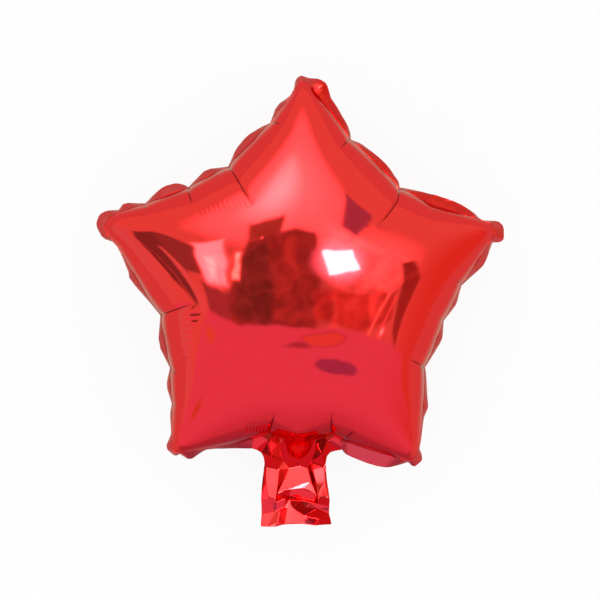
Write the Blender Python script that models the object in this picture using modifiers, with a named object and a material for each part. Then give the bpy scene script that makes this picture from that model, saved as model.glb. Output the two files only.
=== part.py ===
"""Star foil balloon: two foil films heat-sealed round a star and blown up, lying on its back.

The frame's origin is the middle of the small flat spot that the back rests on. +Z points out of the
star's front face and +Y towards its top point, so the tail points along -Y.
"""

import math
from typing import NamedTuple

import bmesh
import bpy
import numpy as np


class Station(NamedTuple):
    """A place on the blown-up seam where it creases, bends or makes a point of the star.

    x and y are counted from the star's centre. crease is how far a crease runs in from there, tab is the
    radius of the rounded tab outside a point, and leaf is how wide the flange's next leaf shows.
    """

    x: float
    y: float
    crease: float = 0
    tab: float = 0
    leaf: float = 0


# All sizes are in metres. The seam is seen from the front, anticlockwise from the top point.
SEAM = (
    Station(0.0022, 0.1164, tab=0.0042, leaf=0.0048),
    Station(-0.0153, 0.0932, crease=0.0060, leaf=0.0048),
    Station(-0.0388, 0.0691, crease=0.0250, leaf=0.0046),
    Station(-0.0609, 0.0573, crease=0.0090, leaf=0.0057),
    Station(-0.0850, 0.0479, crease=0.0050, leaf=0.0036),
    Station(-0.1069, 0.0358, tab=0.0065, leaf=0.0032),
    Station(-0.0765, -0.0139, crease=0.0230, leaf=0.0052),
    Station(-0.0710, -0.0430, crease=0.0070, leaf=0.0034),
    Station(-0.0698, -0.0631, crease=0.0050, leaf=0.0022),
    Station(-0.0665, -0.0905, tab=0.0055, leaf=0.0055),
    Station(-0.0161, -0.0803, crease=0.0150),
    Station(0.0180, -0.0811, crease=0.0150, leaf=0.0075),
    Station(0.0626, -0.0950, tab=0.0050, leaf=0.0028),
    Station(0.0673, -0.0855),
    Station(0.0705, -0.0427, crease=0.0120, leaf=0.0032),
    Station(0.0808, -0.0168, crease=0.0060, leaf=0.0032),
    Station(0.0907, 0.0031, crease=0.0060, leaf=0.0032),
    Station(0.1086, 0.0325, tab=0.0060, leaf=0.0055),
    Station(0.1019, 0.0391),
    Station(0.0753, 0.0470),
    Station(0.0566, 0.0572, crease=0.0230, leaf=0.0045),
    Station(0.0294, 0.0839, crease=0.0090, leaf=0.0055),
    Station(0.0075, 0.1139),
)
SEAM_BULGE = 0.02

FRONT_RISE = 0.0450
BACK_RISE = 0.0450
REST_FLATTENING = 0.0010
SEAM_HEIGHT = BACK_RISE - REST_FLATTENING
CREASE_DEPTH = 0.22
CREASE_RUN_OUT = 1.6

FLANGE_THICKNESS = 0.0009
FLANGE_PINCH = 0.0008
FLANGE_WAVE = 0.0022
LEAF_FULLNESS = 0.75

TAIL_LEFT = -0.0200
TAIL_RIGHT = 0.0172
TAIL_TOP = -0.0740
TAIL_END = -0.1296
TAIL_THICKNESS = 0.0024
TAIL_FLARE = 0.0012
TAIL_PLEAT = 0.0026
TAIL_GATHER_END = 0.9
TAIL_FACET = 0.0013
TAIL_FACET_TURNS = (4.2, 7.0)
TAIL_FOLD = -0.1155
TAIL_FOLD_RISE = 0.0018
TAIL_FOLD_HALF = 0.0035
TAIL_HEM_SLOPE = 0.086

SPOKE_STEP = 0.0075
RINGS = 12
TAIL_COLUMNS = 14
TAIL_ROWS = 12

FOIL_RED = (0.74, 0.025, 0.035, 1.0)


class Spoke:
    """One radial line of the star, from its centre to the seam and on across the flange."""

    def __init__(self, place, crease):
        self.place = place
        self.crease = crease
        self.flange_width = FLANGE_PINCH
        self.flange_wave = 0.0
        self.outward = None


def seam_spokes():
    """Spokes along the whole seam: one at each station and more between, close together at the stations."""
    spokes = []
    for number, station in enumerate(SEAM):
        following = SEAM[(number + 1) % len(SEAM)]
        start = np.array((station.x, station.y))
        run = np.array((following.x, following.y)) - start
        length = np.linalg.norm(run)
        outward = np.array((run[1], -run[0])) / length
        steps = max(2, round(length / SPOKE_STEP))
        for step in range(steps):
            share = (1 - math.cos(math.pi * step / steps)) / 2
            bulge = 4 * SEAM_BULGE * length * share * (1 - share)
            crease = 0.0 if step else station.crease
            spokes.append(Spoke(start + run * share + outward * bulge, crease))
    for number, spoke in enumerate(spokes):
        along = spokes[(number + 1) % len(spokes)].place - spokes[number - 1].place
        spoke.outward = np.array((along[1], -along[0])) / np.linalg.norm(along)
    return spokes


def shape_flange(spokes):
    """Gives each spoke its flange: a leaf between two creases or points, and a rounded tab at each point."""
    places = np.array([spoke.place for spoke in spokes])
    steps = np.linalg.norm(np.roll(places, -1, axis=0) - places, axis=1)
    reached = np.concatenate([[0.0], np.cumsum(steps)])
    ends = [station for station in SEAM if station.crease or station.tab]
    marks = [np.argmin(np.hypot(*(places - (end.x, end.y)).T)) for end in ends]
    marks.append(len(spokes))
    for number, end in enumerate(ends):
        first, last = marks[number], marks[number + 1]
        side = 1 if number % 2 else -1
        for index in range(first, last):
            share = (reached[index] - reached[first]) / (reached[last] - reached[first])
            swell = math.sin(math.pi * share) ** LEAF_FULLNESS
            spokes[index].flange_width += end.leaf * swell
            spokes[index].flange_wave = side * FLANGE_WAVE * swell if end.leaf else 0.0
    for tip in (station for station in SEAM if station.tab):
        centre = np.array((tip.x, tip.y))
        for spoke in spokes:
            to_centre = centre - spoke.place
            inside = tip.tab**2 - to_centre @ to_centre
            if inside > 0:
                level = spoke.outward @ to_centre
                spoke.flange_width = max(spoke.flange_width, level + math.sqrt(level**2 + inside))


def film_rise(spokes, shares):
    """Rise of the blown-up film over the outline at each ring and spoke, 1 at its highest.

    The rise is the square root of the sag of a film held at the seam, found with triangles of the flat
    outline, so a strip comes out round across and a point of the star comes out as a cone.
    """
    count = len(spokes)
    flat = [np.zeros(2)] + [spoke.place * share for share in shares for spoke in spokes]
    corners = [(0, 1 + i, 1 + (i + 1) % count) for i in range(count)]
    for ring in range(len(shares) - 1):
        inner, outer = 1 + ring * count, 1 + (ring + 1) * count
        for i in range(count):
            j = (i + 1) % count
            corners.append((inner + i, outer + i, outer + j))
            corners.append((inner + i, outer + j, inner + j))
    total = len(flat)
    stiffness = np.zeros((total, total))
    load = np.zeros(total)
    for triangle in corners:
        a, b, c = (flat[corner] for corner in triangle)
        edges = np.array((c - b, a - c, b - a))
        area = abs(edges[0][0] * edges[1][1] - edges[0][1] * edges[1][0]) / 2
        stiffness[np.ix_(triangle, triangle)] += edges @ edges.T / (4 * area)
        load[list(triangle)] += area / 3
    free = slice(0, total - count)
    sag = np.zeros(total)
    sag[free] = np.linalg.solve(stiffness[free, free], load[free])
    rise = np.sqrt(sag / sag.max())
    return rise[1:].reshape(len(shares), count)


def crease_factor(spoke, share):
    """1 where the film is full, and less in the valley that a crease makes near the seam."""
    if not spoke.crease:
        return 1.0
    inwards = (1 - share) * np.linalg.norm(spoke.place) / spoke.crease
    return 1 - CREASE_DEPTH * min(max(CREASE_RUN_OUT * (1 - inwards), 0.0), 1.0)


def make_body(material):
    """The blown-up star with its flange: a sphere whose rings become the film's contours."""
    spokes = seam_spokes()
    shape_flange(spokes)
    count = len(spokes)
    shares = [math.sin(math.pi / 2 * ring / RINGS) for ring in range(1, RINGS + 1)]
    rises = film_rise(spokes, shares)
    mesh = bmesh.new()
    bmesh.ops.create_uvsphere(mesh, u_segments=count, v_segments=2 * RINGS + 3, radius=1)
    ring_angle = math.pi / (2 * RINGS + 3)
    for vertex in mesh.verts:
        side = 1 if vertex.co.z > 0 else -1
        top = FRONT_RISE if side > 0 else BACK_RISE
        ring = round(math.acos(abs(vertex.co.z)) / ring_angle)
        if ring == 0:
            vertex.co = (0, 0, SEAM_HEIGHT + side * top)
            continue
        number = round(math.atan2(vertex.co.y, vertex.co.x) / (2 * math.pi) * count) % count
        spoke = spokes[number]
        if ring > RINGS:
            place = spoke.place + spoke.outward * spoke.flange_width
            height = spoke.flange_wave + side * FLANGE_THICKNESS / 2
        else:
            place = spoke.place * shares[ring - 1]
            rise = top * rises[ring - 1][number] * crease_factor(spoke, shares[ring - 1])
            height = side * (rise + FLANGE_THICKNESS / 2)
        vertex.co = (place[0], place[1], SEAM_HEIGHT + height)
    flatten_back(mesh)
    bmesh.ops.recalc_face_normals(mesh, faces=mesh.faces[:])
    return new_object("foil_star_balloon", mesh, material)


def flatten_back(mesh):
    """Cuts the back's crown off at the plane that it rests on."""
    everything = mesh.verts[:] + mesh.edges[:] + mesh.faces[:]
    bmesh.ops.bisect_plane(mesh, geom=everything, plane_co=(0, 0, 0), plane_no=(0, 0, -1), clear_outer=True)
    rim = [edge for edge in mesh.edges if edge.is_boundary]
    bmesh.ops.contextual_create(mesh, geom=rim)


def tail_place(across, along):
    """Middle of the tail's films, for across from -1 to 1 and along from 0 at the body to 1 at its end."""
    y = TAIL_TOP + (TAIL_END - TAIL_TOP) * along
    middle = (TAIL_LEFT + TAIL_RIGHT) / 2
    half_width = (TAIL_RIGHT - TAIL_LEFT) / 2 + TAIL_FLARE * (2 * along - 1)
    gather = max(0.0, 1 - along / TAIL_GATHER_END)
    inside = (1 - across**2) ** 2
    pleats = TAIL_PLEAT * gather * inside * math.cos(3 * math.pi * across)
    turn_across, turn_along = TAIL_FACET_TURNS
    facets = TAIL_FACET * along * math.sin(turn_across * across + turn_along * along)
    hem = TAIL_HEM_SLOPE * max(0.0, TAIL_FOLD - y)
    fold = TAIL_FOLD_RISE * math.exp(-(((y - TAIL_FOLD) / TAIL_FOLD_HALF) ** 2)) - hem
    return middle + half_width * across, y, SEAM_HEIGHT + pleats + facets + fold


def make_tail(material):
    """The filling tail below the star: both films, flat but gathered where the valve goes in."""
    mesh = bmesh.new()
    bmesh.ops.create_grid(mesh, x_segments=TAIL_COLUMNS, y_segments=TAIL_ROWS, size=1)
    for vertex in mesh.verts:
        vertex.co = tail_place(vertex.co.x, (1 - vertex.co.y) / 2)
    tail = new_object("tail_blank", mesh, material)
    films = tail.modifiers.new("Both films", "SOLIDIFY")
    films.thickness = TAIL_THICKNESS
    films.offset = 0
    tail.hide_render = True
    tail.display_type = "WIRE"
    return tail


def new_object(name, mesh, material):
    data = bpy.data.meshes.new(name)
    mesh.to_mesh(data)
    mesh.free()
    data.materials.append(material)
    data.shade_smooth()
    return bpy.data.objects.new(name, data)


def foil_material():
    material = bpy.data.materials.new("Red foil")
    material.use_nodes = True
    shader = material.node_tree.nodes["Principled BSDF"]
    shader.inputs["Base Color"].default_value = FOIL_RED
    shader.inputs["Metallic"].default_value = 1.0
    shader.inputs["Roughness"].default_value = 0.12
    return material


for old in list(bpy.data.objects):
    bpy.data.objects.remove(old)
parts = bpy.data.collections.new("Star foil balloon")
blanks = bpy.data.collections.new("Blanks")
bpy.context.scene.collection.children.link(parts)
bpy.context.scene.collection.children.link(blanks)
foil = foil_material()
balloon = make_body(foil)
tail_blank = make_tail(foil)
parts.objects.link(balloon)
blanks.objects.link(tail_blank)
join = balloon.modifiers.new("Tail", "BOOLEAN")
join.operation = "UNION"
join.solver = "EXACT"
join.object = tail_blank
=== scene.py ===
import math

import bmesh
import bpy
import numpy as np
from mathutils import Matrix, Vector, noise
from mathutils.geometry import delaunay_2d_cdt


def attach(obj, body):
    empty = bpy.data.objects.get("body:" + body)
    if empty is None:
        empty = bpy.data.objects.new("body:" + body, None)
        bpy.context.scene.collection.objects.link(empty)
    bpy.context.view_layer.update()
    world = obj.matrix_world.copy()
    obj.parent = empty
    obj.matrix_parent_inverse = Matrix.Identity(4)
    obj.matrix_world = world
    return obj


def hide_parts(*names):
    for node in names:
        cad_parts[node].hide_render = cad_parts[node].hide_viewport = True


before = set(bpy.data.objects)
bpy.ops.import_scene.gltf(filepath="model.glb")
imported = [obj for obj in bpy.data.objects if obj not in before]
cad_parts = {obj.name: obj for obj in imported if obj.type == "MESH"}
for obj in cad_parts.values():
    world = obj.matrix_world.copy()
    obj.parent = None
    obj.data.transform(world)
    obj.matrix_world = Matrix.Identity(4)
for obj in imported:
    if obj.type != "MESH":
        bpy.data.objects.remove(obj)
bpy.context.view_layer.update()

# Camera
# It looks straight down at the star, which lies on its back, with the top point up in the picture.
SEAM_HEIGHT = 0.044
CAMERA_ABOVE_SEAM = 0.9
PICTURE_WIDTH = 0.3324
PICTURE_CENTRE = (0.0011, -0.0052)
SENSOR_WIDTH = 36.0

camera_data = bpy.data.cameras.new("Camera")
camera_data.sensor_width = SENSOR_WIDTH
camera_data.lens = SENSOR_WIDTH * CAMERA_ABOVE_SEAM / PICTURE_WIDTH
camera = bpy.data.objects.new("Camera", camera_data)
camera.location = (*PICTURE_CENTRE, SEAM_HEIGHT + CAMERA_ABOVE_SEAM)
bpy.context.scene.collection.objects.link(camera)
bpy.context.scene.camera = camera
bpy.context.scene.view_settings.view_transform = "Standard"

# The two films
# A foil balloon is two sheets of thin nylon film, coated with aluminium and red lacquer, that are
# heat-sealed to each other all round a star. The gas draws the seam in and puts small creases in it.
FRONT_RISE = 0.0450
BACK_RISE = 0.0450
FOIL_RED = (0.76, 0.031, 0.038, 1.0)
FOIL_EDGE_TINT = (0.88, 0.60, 0.60, 1.0)
FOIL_ROUGHNESS = 0.06
# Painted shade along the bottom of each crease: its half width in millimetres, its colour, and the share of
# that width that is darkest
SLIT_SHADE_WIDTH = 0.55
PAINTED_SLIT_SHADE = (0.13, 0.004, 0.005, 1.0)
# Painted self-reflection: the deeper reds where the foil mirrors itself, in the tail's facets and in the
# neck
SELF_REFLECTION_RED = (0.56, 0.006, 0.009, 1.0)
NECK_REFLECTION_RED = (0.80, 0.006, 0.006, 1.0)
SLIT_SHADE_DARKEST = 0.1
FILM_STEPS = 32
FILM_LEVELS = 2
FIRST_NOTCH = 54
NOTCH_TURN = 72
CENTRE_SHARE = 1e-9
SAG_ROUNDS = 400
SAG_LEFT = 1e-22
ON_THE_SEAM = 1e-5
SEAM_BULGE = 0.008

# The blown-up seam seen from the front, anticlockwise from the top point. POINTS says which places are the
# five points of the star.
SEAM = (
    (0.0018, 0.1163),
    (-0.0008, 0.1138),
    (-0.0040, 0.1080),
    (-0.0153, 0.0932),
    (-0.0388, 0.0691),
    (-0.0609, 0.0573),
    (-0.0850, 0.0479),
    (-0.1000, 0.0432),
    (-0.1052, 0.0402),
    (-0.1075, 0.0352),
    (-0.1052, 0.0303),
    (-0.1000, 0.0245),
    (-0.0765, -0.0139),
    (-0.0710, -0.0430),
    (-0.0698, -0.0631),
    (-0.0700, -0.0850),
    (-0.0685, -0.0893),
    (-0.0640, -0.0903),
    (-0.0161, -0.0803),
    (-0.0092, -0.0822),
    (-0.0070, -0.0850),
    (-0.0056, -0.0908),
    (0.0005, -0.0938),
    (0.0058, -0.0902),
    (0.0080, -0.0850),
    (0.0100, -0.0826),
    (0.0180, -0.0811),
    (0.0575, -0.0935),
    (0.0632, -0.0942),
    (0.0662, -0.0905),
    (0.0680, -0.0820),
    (0.0705, -0.0427),
    (0.0808, -0.0168),
    (0.0907, 0.0031),
    (0.1035, 0.0225),
    (0.1075, 0.0285),
    (0.1090, 0.0335),
    (0.1065, 0.0372),
    (0.1010, 0.0394),
    (0.0753, 0.0470),
    (0.0566, 0.0572),
    (0.0294, 0.0839),
    (0.0085, 0.1115),
    (0.0055, 0.1150),
)
POINTS = (0, 9, 16, 28, 36)

# Where the films come together into the neck, which stays lower than the star, and where the foil mirrors
# itself, painted as a deeper red
NECK_MIDDLE = 0.0010
NECK_HALF = 0.0100
NECK_SIDE = 0.0050
NECK_START = -0.0785
NECK_STEP = 0.0060
NECK_DROP = 0.35

# Creases that start at the seam: how deep and how wide each one is, and its places from the seam inwards
CREASES = (
    (0.0007, 0.0008, ((-0.0157, 0.0936), (-0.0094, 0.0906))),
    (0.0013, 0.0009, ((-0.0391, 0.0697), (-0.0320, 0.0585), (-0.0245, 0.0450))),
    (0.0010, 0.0009, ((-0.0612, 0.0580), (-0.0572, 0.0465))),
    (0.0006, 0.0008, ((-0.0852, 0.0484), (-0.0837, 0.0447))),
    (0.0013, 0.0010, ((-0.0771, -0.0141), (-0.0620, -0.0091), (-0.0554, -0.0072))),
    (0.0008, 0.0009, ((-0.0715, -0.0428), (-0.0658, -0.0458))),
    (0.0005, 0.0008, ((-0.0702, -0.0632), (-0.0665, -0.0629))),
    (0.0013, 0.0009, ((-0.0164, -0.0812), (-0.0124, -0.0654))),
    (0.0013, 0.0009, ((0.0180, -0.0820), (0.0182, -0.0658))),
    (0.0005, 0.0008, ((0.0260, -0.0811), (0.0305, -0.0761))),
    (0.0010, 0.0009, ((0.0709, -0.0429), (0.0655, -0.0397), (0.0603, -0.0371))),
    (0.0007, 0.0008, ((0.0812, -0.0170), (0.0769, -0.0151))),
    (0.0007, 0.0008, ((0.0911, 0.0029), (0.0864, 0.0052))),
    (0.0013, 0.0009, (
        (0.0568, 0.0578), (0.0543, 0.0490), (0.0501, 0.0428), (0.0467, 0.0386), (0.0417, 0.0337),
    )),
    (0.0009, 0.0009, ((0.0297, 0.0845), (0.0235, 0.0776))),
)
CREASE_FADING = 0.8
VALLEY_SHARE = 0.3
VALLEY_WIDTH = 0.006

# How the painted shade at the bottom of a crease is placed: the value where there is no crease, how sharply
# the shade ends with the crease, and how far off the crease it reaches, in millimetres
OFF_EVERY_CREASE = 9.0
SHADE_END = 3.5
SHADE_REACH = 2.6

# Combs of short fine wrinkles beside the long creases: how many, the places of the middles of the first
# and the last, half the length of the first and of the last, the way they run, in degrees, and how deep
COMBS = (
    (10, (-0.0540, 0.0432), (-0.0298, 0.0478), 0.0030, 0.0034, -62, 0.00008),
    (7, (-0.0498, -0.0832), (-0.0375, -0.0806), 0.0018, 0.0020, 62, 0.00012),
    (9, (-0.0570, -0.0125), (-0.0620, -0.0400), 0.0042, 0.0014, 4, 0.00016),
    (6, (-0.0270, -0.0745), (-0.0178, -0.0735), 0.0030, 0.0062, 78, 0.00030),
    (8, (0.0690, -0.0330), (0.0800, -0.0060), 0.0030, 0.0040, -8, 0.00010),
    (6, (-0.0086, -0.0826), (-0.0052, -0.0912), 0.0022, 0.0016, -4, 0.00035),
)
WRINKLE_WIDTH = 0.0006
UNDULATION = 0.00006
UNDULATION_SIZE = 0.016


def seam_line():
    """Places along the seam, and the mark of each: it goes up by 2 from one point of the star to the next.

    Marks run anticlockwise and are rounded to the film's grid, so every crease starts on one of its lines.
    """
    stations = np.array(SEAM)
    runs = np.linalg.norm(np.roll(stations, -1, axis=0) - stations, axis=1)
    places, marks = [], []
    for tip, (first, last) in enumerate(zip(POINTS, POINTS[1:] + (len(SEAM),))):
        reached = np.concatenate([[0], np.cumsum(runs[first:last])]) / runs[first:last].sum()
        steps = np.round(reached * 2 * FILM_STEPS).astype(int)
        for number in range(first, last):
            start = stations[number]
            run = stations[(number + 1) % len(SEAM)] - start
            outward = np.array((run[1], -run[0]))
            low, high = steps[number - first : number - first + 2]
            for share in np.arange(high - low) / (high - low):
                bulge = 4 * SEAM_BULGE * share * (1 - share)
                places.append(start + run * share + outward * bulge)
                marks.append(2 * tip + (low + share * (high - low)) / FILM_STEPS)
    return np.array(places), np.array(marks)


def flat_film():
    """Grid of quads over a flat star made of five rhombs that meet at its centre."""
    mesh = bmesh.new()
    centre = mesh.verts.new((0, 0, 0))
    angles = np.radians(FIRST_NOTCH + NOTCH_TURN * np.arange(len(POINTS)))
    notches = [mesh.verts.new((math.cos(angle), math.sin(angle), 0)) for angle in angles]
    for first, second in zip(notches, notches[1:] + notches[:1]):
        tip = mesh.verts.new(first.co + second.co)
        mesh.faces.new((centre, first, tip, second))
    bmesh.ops.subdivide_edges(mesh, edges=mesh.edges[:], cuts=FILM_STEPS - 1, use_grid_fill=True)
    return mesh


def fit_to_seam(mesh):
    """Moves the flat star's grid so that its rim is the seam and its lines run from there to the centre."""
    seam, marks = seam_line()
    seam = np.vstack([seam[-1:], seam, seam[:1]])
    marks = np.concatenate([marks[-1:] - 10, marks, marks[:1] + 10])
    notches = np.radians(FIRST_NOTCH + NOTCH_TURN * np.arange(len(POINTS) + 1))
    for vertex in mesh.verts:
        angle = math.degrees(math.atan2(vertex.co.y, vertex.co.x))
        sector = int((angle - FIRST_NOTCH) % 360 // NOTCH_TURN)
        first, second = notches[sector], notches[sector + 1]
        sides = np.array(((math.cos(first), math.cos(second)), (math.sin(first), math.sin(second))))
        right, left = np.linalg.solve(sides, vertex.co.xy)
        share = max(right, left, CENTRE_SHARE)
        mark = (2 * sector + (left / share if right >= left else 2 - right / share) - 1) % 10
        vertex.co.x = np.interp(mark, marks, seam[:, 0]) * share
        vertex.co.y = np.interp(mark, marks, seam[:, 1]) * share


def film_rise(mesh):
    """Rise of the blown-up film at each vertex, 1 at its highest.

    It is the square root of the sag of a film held at the seam, so a strip comes out round across and a
    point of the star comes out as a cone. The sag is found with conjugate gradients over triangles.
    """
    mesh.verts.ensure_lookup_table()
    mesh.verts.index_update()
    places = np.array([vertex.co.xy for vertex in mesh.verts])
    held = np.array([vertex.is_boundary for vertex in mesh.verts])
    quads = np.array([[vertex.index for vertex in face.verts] for face in mesh.faces])
    triangles = np.vstack([quads[:, (0, 1, 2)], quads[:, (0, 2, 3)]])
    corners = places[triangles]
    sides = np.roll(corners, 1, axis=1) - np.roll(corners, -1, axis=1)
    areas = abs(sides[:, 0, 0] * sides[:, 1, 1] - sides[:, 0, 1] * sides[:, 1, 0]) / 2
    local = np.einsum("nik,njk->nij", sides, sides) / (4 * areas)[:, None, None]

    def pull(sag):
        forces = np.einsum("nij,nj->ni", local, sag[triangles])
        return np.bincount(triangles.ravel(), forces.ravel(), len(places)) * ~held

    left = np.bincount(triangles.ravel(), np.repeat(areas / 3, 3), len(places)) * ~held
    sag = np.zeros(len(places))
    way = left.copy()
    for _ in range(SAG_ROUNDS):
        pulled = pull(way)
        step = (left @ left) / (way @ pulled)
        sag += step * way
        after = left - step * pulled
        way = after + (after @ after) / (left @ left) * way
        left = after
        if left @ left < SAG_LEFT:
            break
    return np.sqrt(np.maximum(sag, 0) / sag.max())


def into_neck(x, y):
    """0 on the star, 1 inside the neck, with smooth steps between."""
    down = np.clip((NECK_START - y) / NECK_STEP, 0, 1)
    across = np.clip((NECK_HALF - abs(x - NECK_MIDDLE)) / NECK_SIDE, 0, 1)
    return down * down * (3 - 2 * down) * across * across * (3 - 2 * across)


def refine(piece, levels):
    """Replaces a mesh by its subdivision surface."""
    modifier = piece.modifiers.new("Smooth", "SUBSURF")
    modifier.levels = modifier.render_levels = levels
    modifier.boundary_smooth = "PRESERVE_CORNERS"
    finished = bpy.data.meshes.new_from_object(piece.evaluated_get(bpy.context.evaluated_depsgraph_get()))
    piece.modifiers.clear()
    piece.data = finished
    finished.shade_smooth()


def crease_reach(places, line):
    """How far each place is off a crease, with its side as the sign, and how far along it, from 0 to 1."""
    line = np.array(line)
    runs = np.linalg.norm(np.diff(line, axis=0), axis=1)
    begun = np.concatenate([[0], np.cumsum(runs)])
    nearest = np.full(len(places), np.inf)
    reached = np.zeros(len(places))
    for start, end, before, run in zip(line, line[1:], begun, runs):
        along = (end - start) / run
        share = np.clip((places - start) @ along / run, 0, 1)
        offset = places - start - share[:, None] * (end - start)
        side = np.where(offset @ (-along[1], along[0]) < 0, -1, 1)
        distance = np.linalg.norm(offset, axis=1) * side
        closer = abs(distance) < abs(nearest)
        nearest[closer] = distance[closer]
        reached[closer] = (before + share * run)[closer]
    return nearest, reached / begun[-1]


def crease_depth(places):
    """How far the creases and the fine wrinkles draw the film in at each place."""
    depth = np.zeros(len(places))
    for deepest, width, line in CREASES:
        distance, reached = crease_reach(places, line)
        fading = deepest * (1 - reached) ** CREASE_FADING
        depth += fading * np.exp(-abs(distance) / width)
        depth += VALLEY_SHARE * fading * np.exp(-((distance / VALLEY_WIDTH) ** 2))
    for count, first, last, long_start, long_end, angle, deepest in COMBS:
        along = np.array((math.cos(math.radians(angle)), math.sin(math.radians(angle))))
        for share in np.arange(count) / (count - 1):
            offset = places - np.array(first) * (1 - share) - np.array(last) * share
            half_length = long_start * (1 - share) + long_end * share
            off_line = offset @ (-along[1], along[0]) / WRINKLE_WIDTH
            off_end = offset @ along / half_length
            depth += deepest * np.exp(-(off_line**2) - off_end**4)
    return depth + UNDULATION * np.array([noise.noise((x, y, 0)) for x, y in places / UNDULATION_SIZE])


def mark_creases(film, places):
    """Stores for each vertex how far it is off the nearest crease, and two marks from 0 to 1.

    The distance is in millimetres. One mark places the painted shade near a crease, the other the painted
    self-reflection in the neck, where the foil mirrors itself.
    """
    off = np.full(len(places), OFF_EVERY_CREASE)
    near = np.zeros(len(places))
    for deepest, width, line in CREASES:
        distance, reached = crease_reach(places, line)
        closer = abs(distance) * 1000 < abs(off)
        off[closer] = distance[closer] * 1000
        fading = np.clip(SHADE_END * (1 - reached), 0, 1) * np.clip(SHADE_REACH - abs(distance) * 1000, 0, 1)
        near[closer] = fading[closer]
    for name, values in (("crease_off", off), ("crease_shade", near), ("deep", into_neck(*places.T))):
        marks = film.data.attributes.new(name, "FLOAT", "POINT")
        marks.data.foreach_set("value", values.astype(np.float32))


def crease(film):
    """Draws the film in along its creases. The seam itself only moves level, so both films keep meeting."""
    count = len(film.data.vertices)
    places = np.empty(count * 3, np.float32)
    film.data.vertices.foreach_get("co", places)
    normals = np.empty(count * 3, np.float32)
    film.data.vertex_normals.foreach_get("vector", normals)
    places, normals = places.reshape(-1, 3), normals.reshape(-1, 3)
    normals[places[:, 2] < SEAM_HEIGHT + ON_THE_SEAM, 2] = 0
    normals /= np.linalg.norm(normals, axis=1)[:, None]
    mark_creases(film, places[:, :2])
    places -= normals * crease_depth(places[:, :2])[:, None]
    film.data.vertices.foreach_set("co", places.ravel())
    film.data.update()


def foil_material(name, roughness):
    """Mirror-bright red foil, a little paler where it is seen edge on."""
    material = bpy.data.materials.new(name)
    material.use_nodes = True
    shader = material.node_tree.nodes["Principled BSDF"]
    shader.inputs["Base Color"].default_value = FOIL_RED
    shader.inputs["Metallic"].default_value = 1.0
    shader.inputs["Roughness"].default_value = roughness
    shader.inputs["Specular Tint"].default_value = FOIL_EDGE_TINT
    return material


# Where the foil mirrors itself, light takes on its colour twice: this double reflection is painted into the
# base colour, as a deeper red where the mark is 1
self_mirror = bpy.data.node_groups.new("Foil that mirrors itself", "ShaderNodeTree")
self_mirror.interface.new_socket("Plain", in_out="INPUT", socket_type="NodeSocketColor")
self_mirror.interface.new_socket("Painted self-reflection", in_out="INPUT", socket_type="NodeSocketColor")
self_mirror.interface.new_socket("Colour", in_out="OUTPUT", socket_type="NodeSocketColor")
self_mirror.interface.new_socket("Self-reflecting", in_out="OUTPUT", socket_type="NodeSocketFloat")
group_in = self_mirror.nodes.new("NodeGroupInput")
group_out = self_mirror.nodes.new("NodeGroupOutput")
# The deep mark says where the self-reflection is painted
deep = self_mirror.nodes.new("ShaderNodeAttribute")
deep.attribute_name = "deep"
self_reflected = self_mirror.nodes.new("ShaderNodeMix")
self_reflected.data_type = "RGBA"
self_mirror.links.new(deep.outputs["Fac"], self_reflected.inputs["Factor"])
self_mirror.links.new(group_in.outputs["Plain"], self_reflected.inputs["A"])
self_mirror.links.new(group_in.outputs["Painted self-reflection"], self_reflected.inputs["B"])
self_mirror.links.new(self_reflected.outputs["Result"], group_out.inputs["Colour"])
self_mirror.links.new(deep.outputs["Fac"], group_out.inputs["Self-reflecting"])


def paint_self_reflection(material, plain, deepest):
    """Paints the deeper red of foil that mirrors itself into the material's colour, as a painted reflection,
    and returns the node.
    """
    tree = material.node_tree
    node = tree.nodes.new("ShaderNodeGroup")
    node.node_tree = self_mirror
    node.inputs["Plain"].default_value = plain
    node.inputs["Painted self-reflection"].default_value = deepest
    tree.links.new(node.outputs["Colour"], tree.nodes["Principled BSDF"].inputs["Base Color"])
    return node


def paint_crease_shade(material):
    """Paints shade into the colour at the bottom of a crease, a slit between two folds of film, which gives
    back almost no light.
    """
    tree = material.node_tree
    off = tree.nodes.new("ShaderNodeAttribute")
    off.attribute_name = "crease_off"
    near = tree.nodes.new("ShaderNodeAttribute")
    near.attribute_name = "crease_shade"
    size = tree.nodes.new("ShaderNodeMath")
    size.operation = "ABSOLUTE"
    tree.links.new(off.outputs["Fac"], size.inputs[0])
    slit = tree.nodes.new("ShaderNodeMapRange")
    slit.interpolation_type = "SMOOTHSTEP"
    slit.inputs["From Min"].default_value = SLIT_SHADE_WIDTH
    slit.inputs["From Max"].default_value = SLIT_SHADE_DARKEST * SLIT_SHADE_WIDTH
    tree.links.new(size.outputs[0], slit.inputs["Value"])
    mask = tree.nodes.new("ShaderNodeMath")
    mask.operation = "MULTIPLY"
    tree.links.new(slit.outputs["Result"], mask.inputs[0])
    tree.links.new(near.outputs["Fac"], mask.inputs[1])
    colour = tree.nodes.new("ShaderNodeMix")
    colour.data_type = "RGBA"
    # The neck gets the painted self-reflection, and the painted crease shade goes over it
    tree.links.new(paint_self_reflection(material, FOIL_RED, NECK_REFLECTION_RED).outputs["Colour"], colour.inputs["A"])
    colour.inputs["B"].default_value = PAINTED_SLIT_SHADE
    tree.links.new(mask.outputs[0], colour.inputs["Factor"])
    tree.links.new(colour.outputs["Result"], tree.nodes["Principled BSDF"].inputs["Base Color"])


def new_piece(name, mesh, material):
    """Puts a mesh into the scene as a piece of the balloon."""
    data = bpy.data.meshes.new(name)
    mesh.to_mesh(data)
    mesh.free()
    data.materials.append(material)
    data.shade_smooth()
    piece = bpy.data.objects.new(name, data)
    bpy.context.scene.collection.objects.link(piece)
    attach(piece, "root")
    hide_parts("foil_star_balloon")
    return piece


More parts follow.
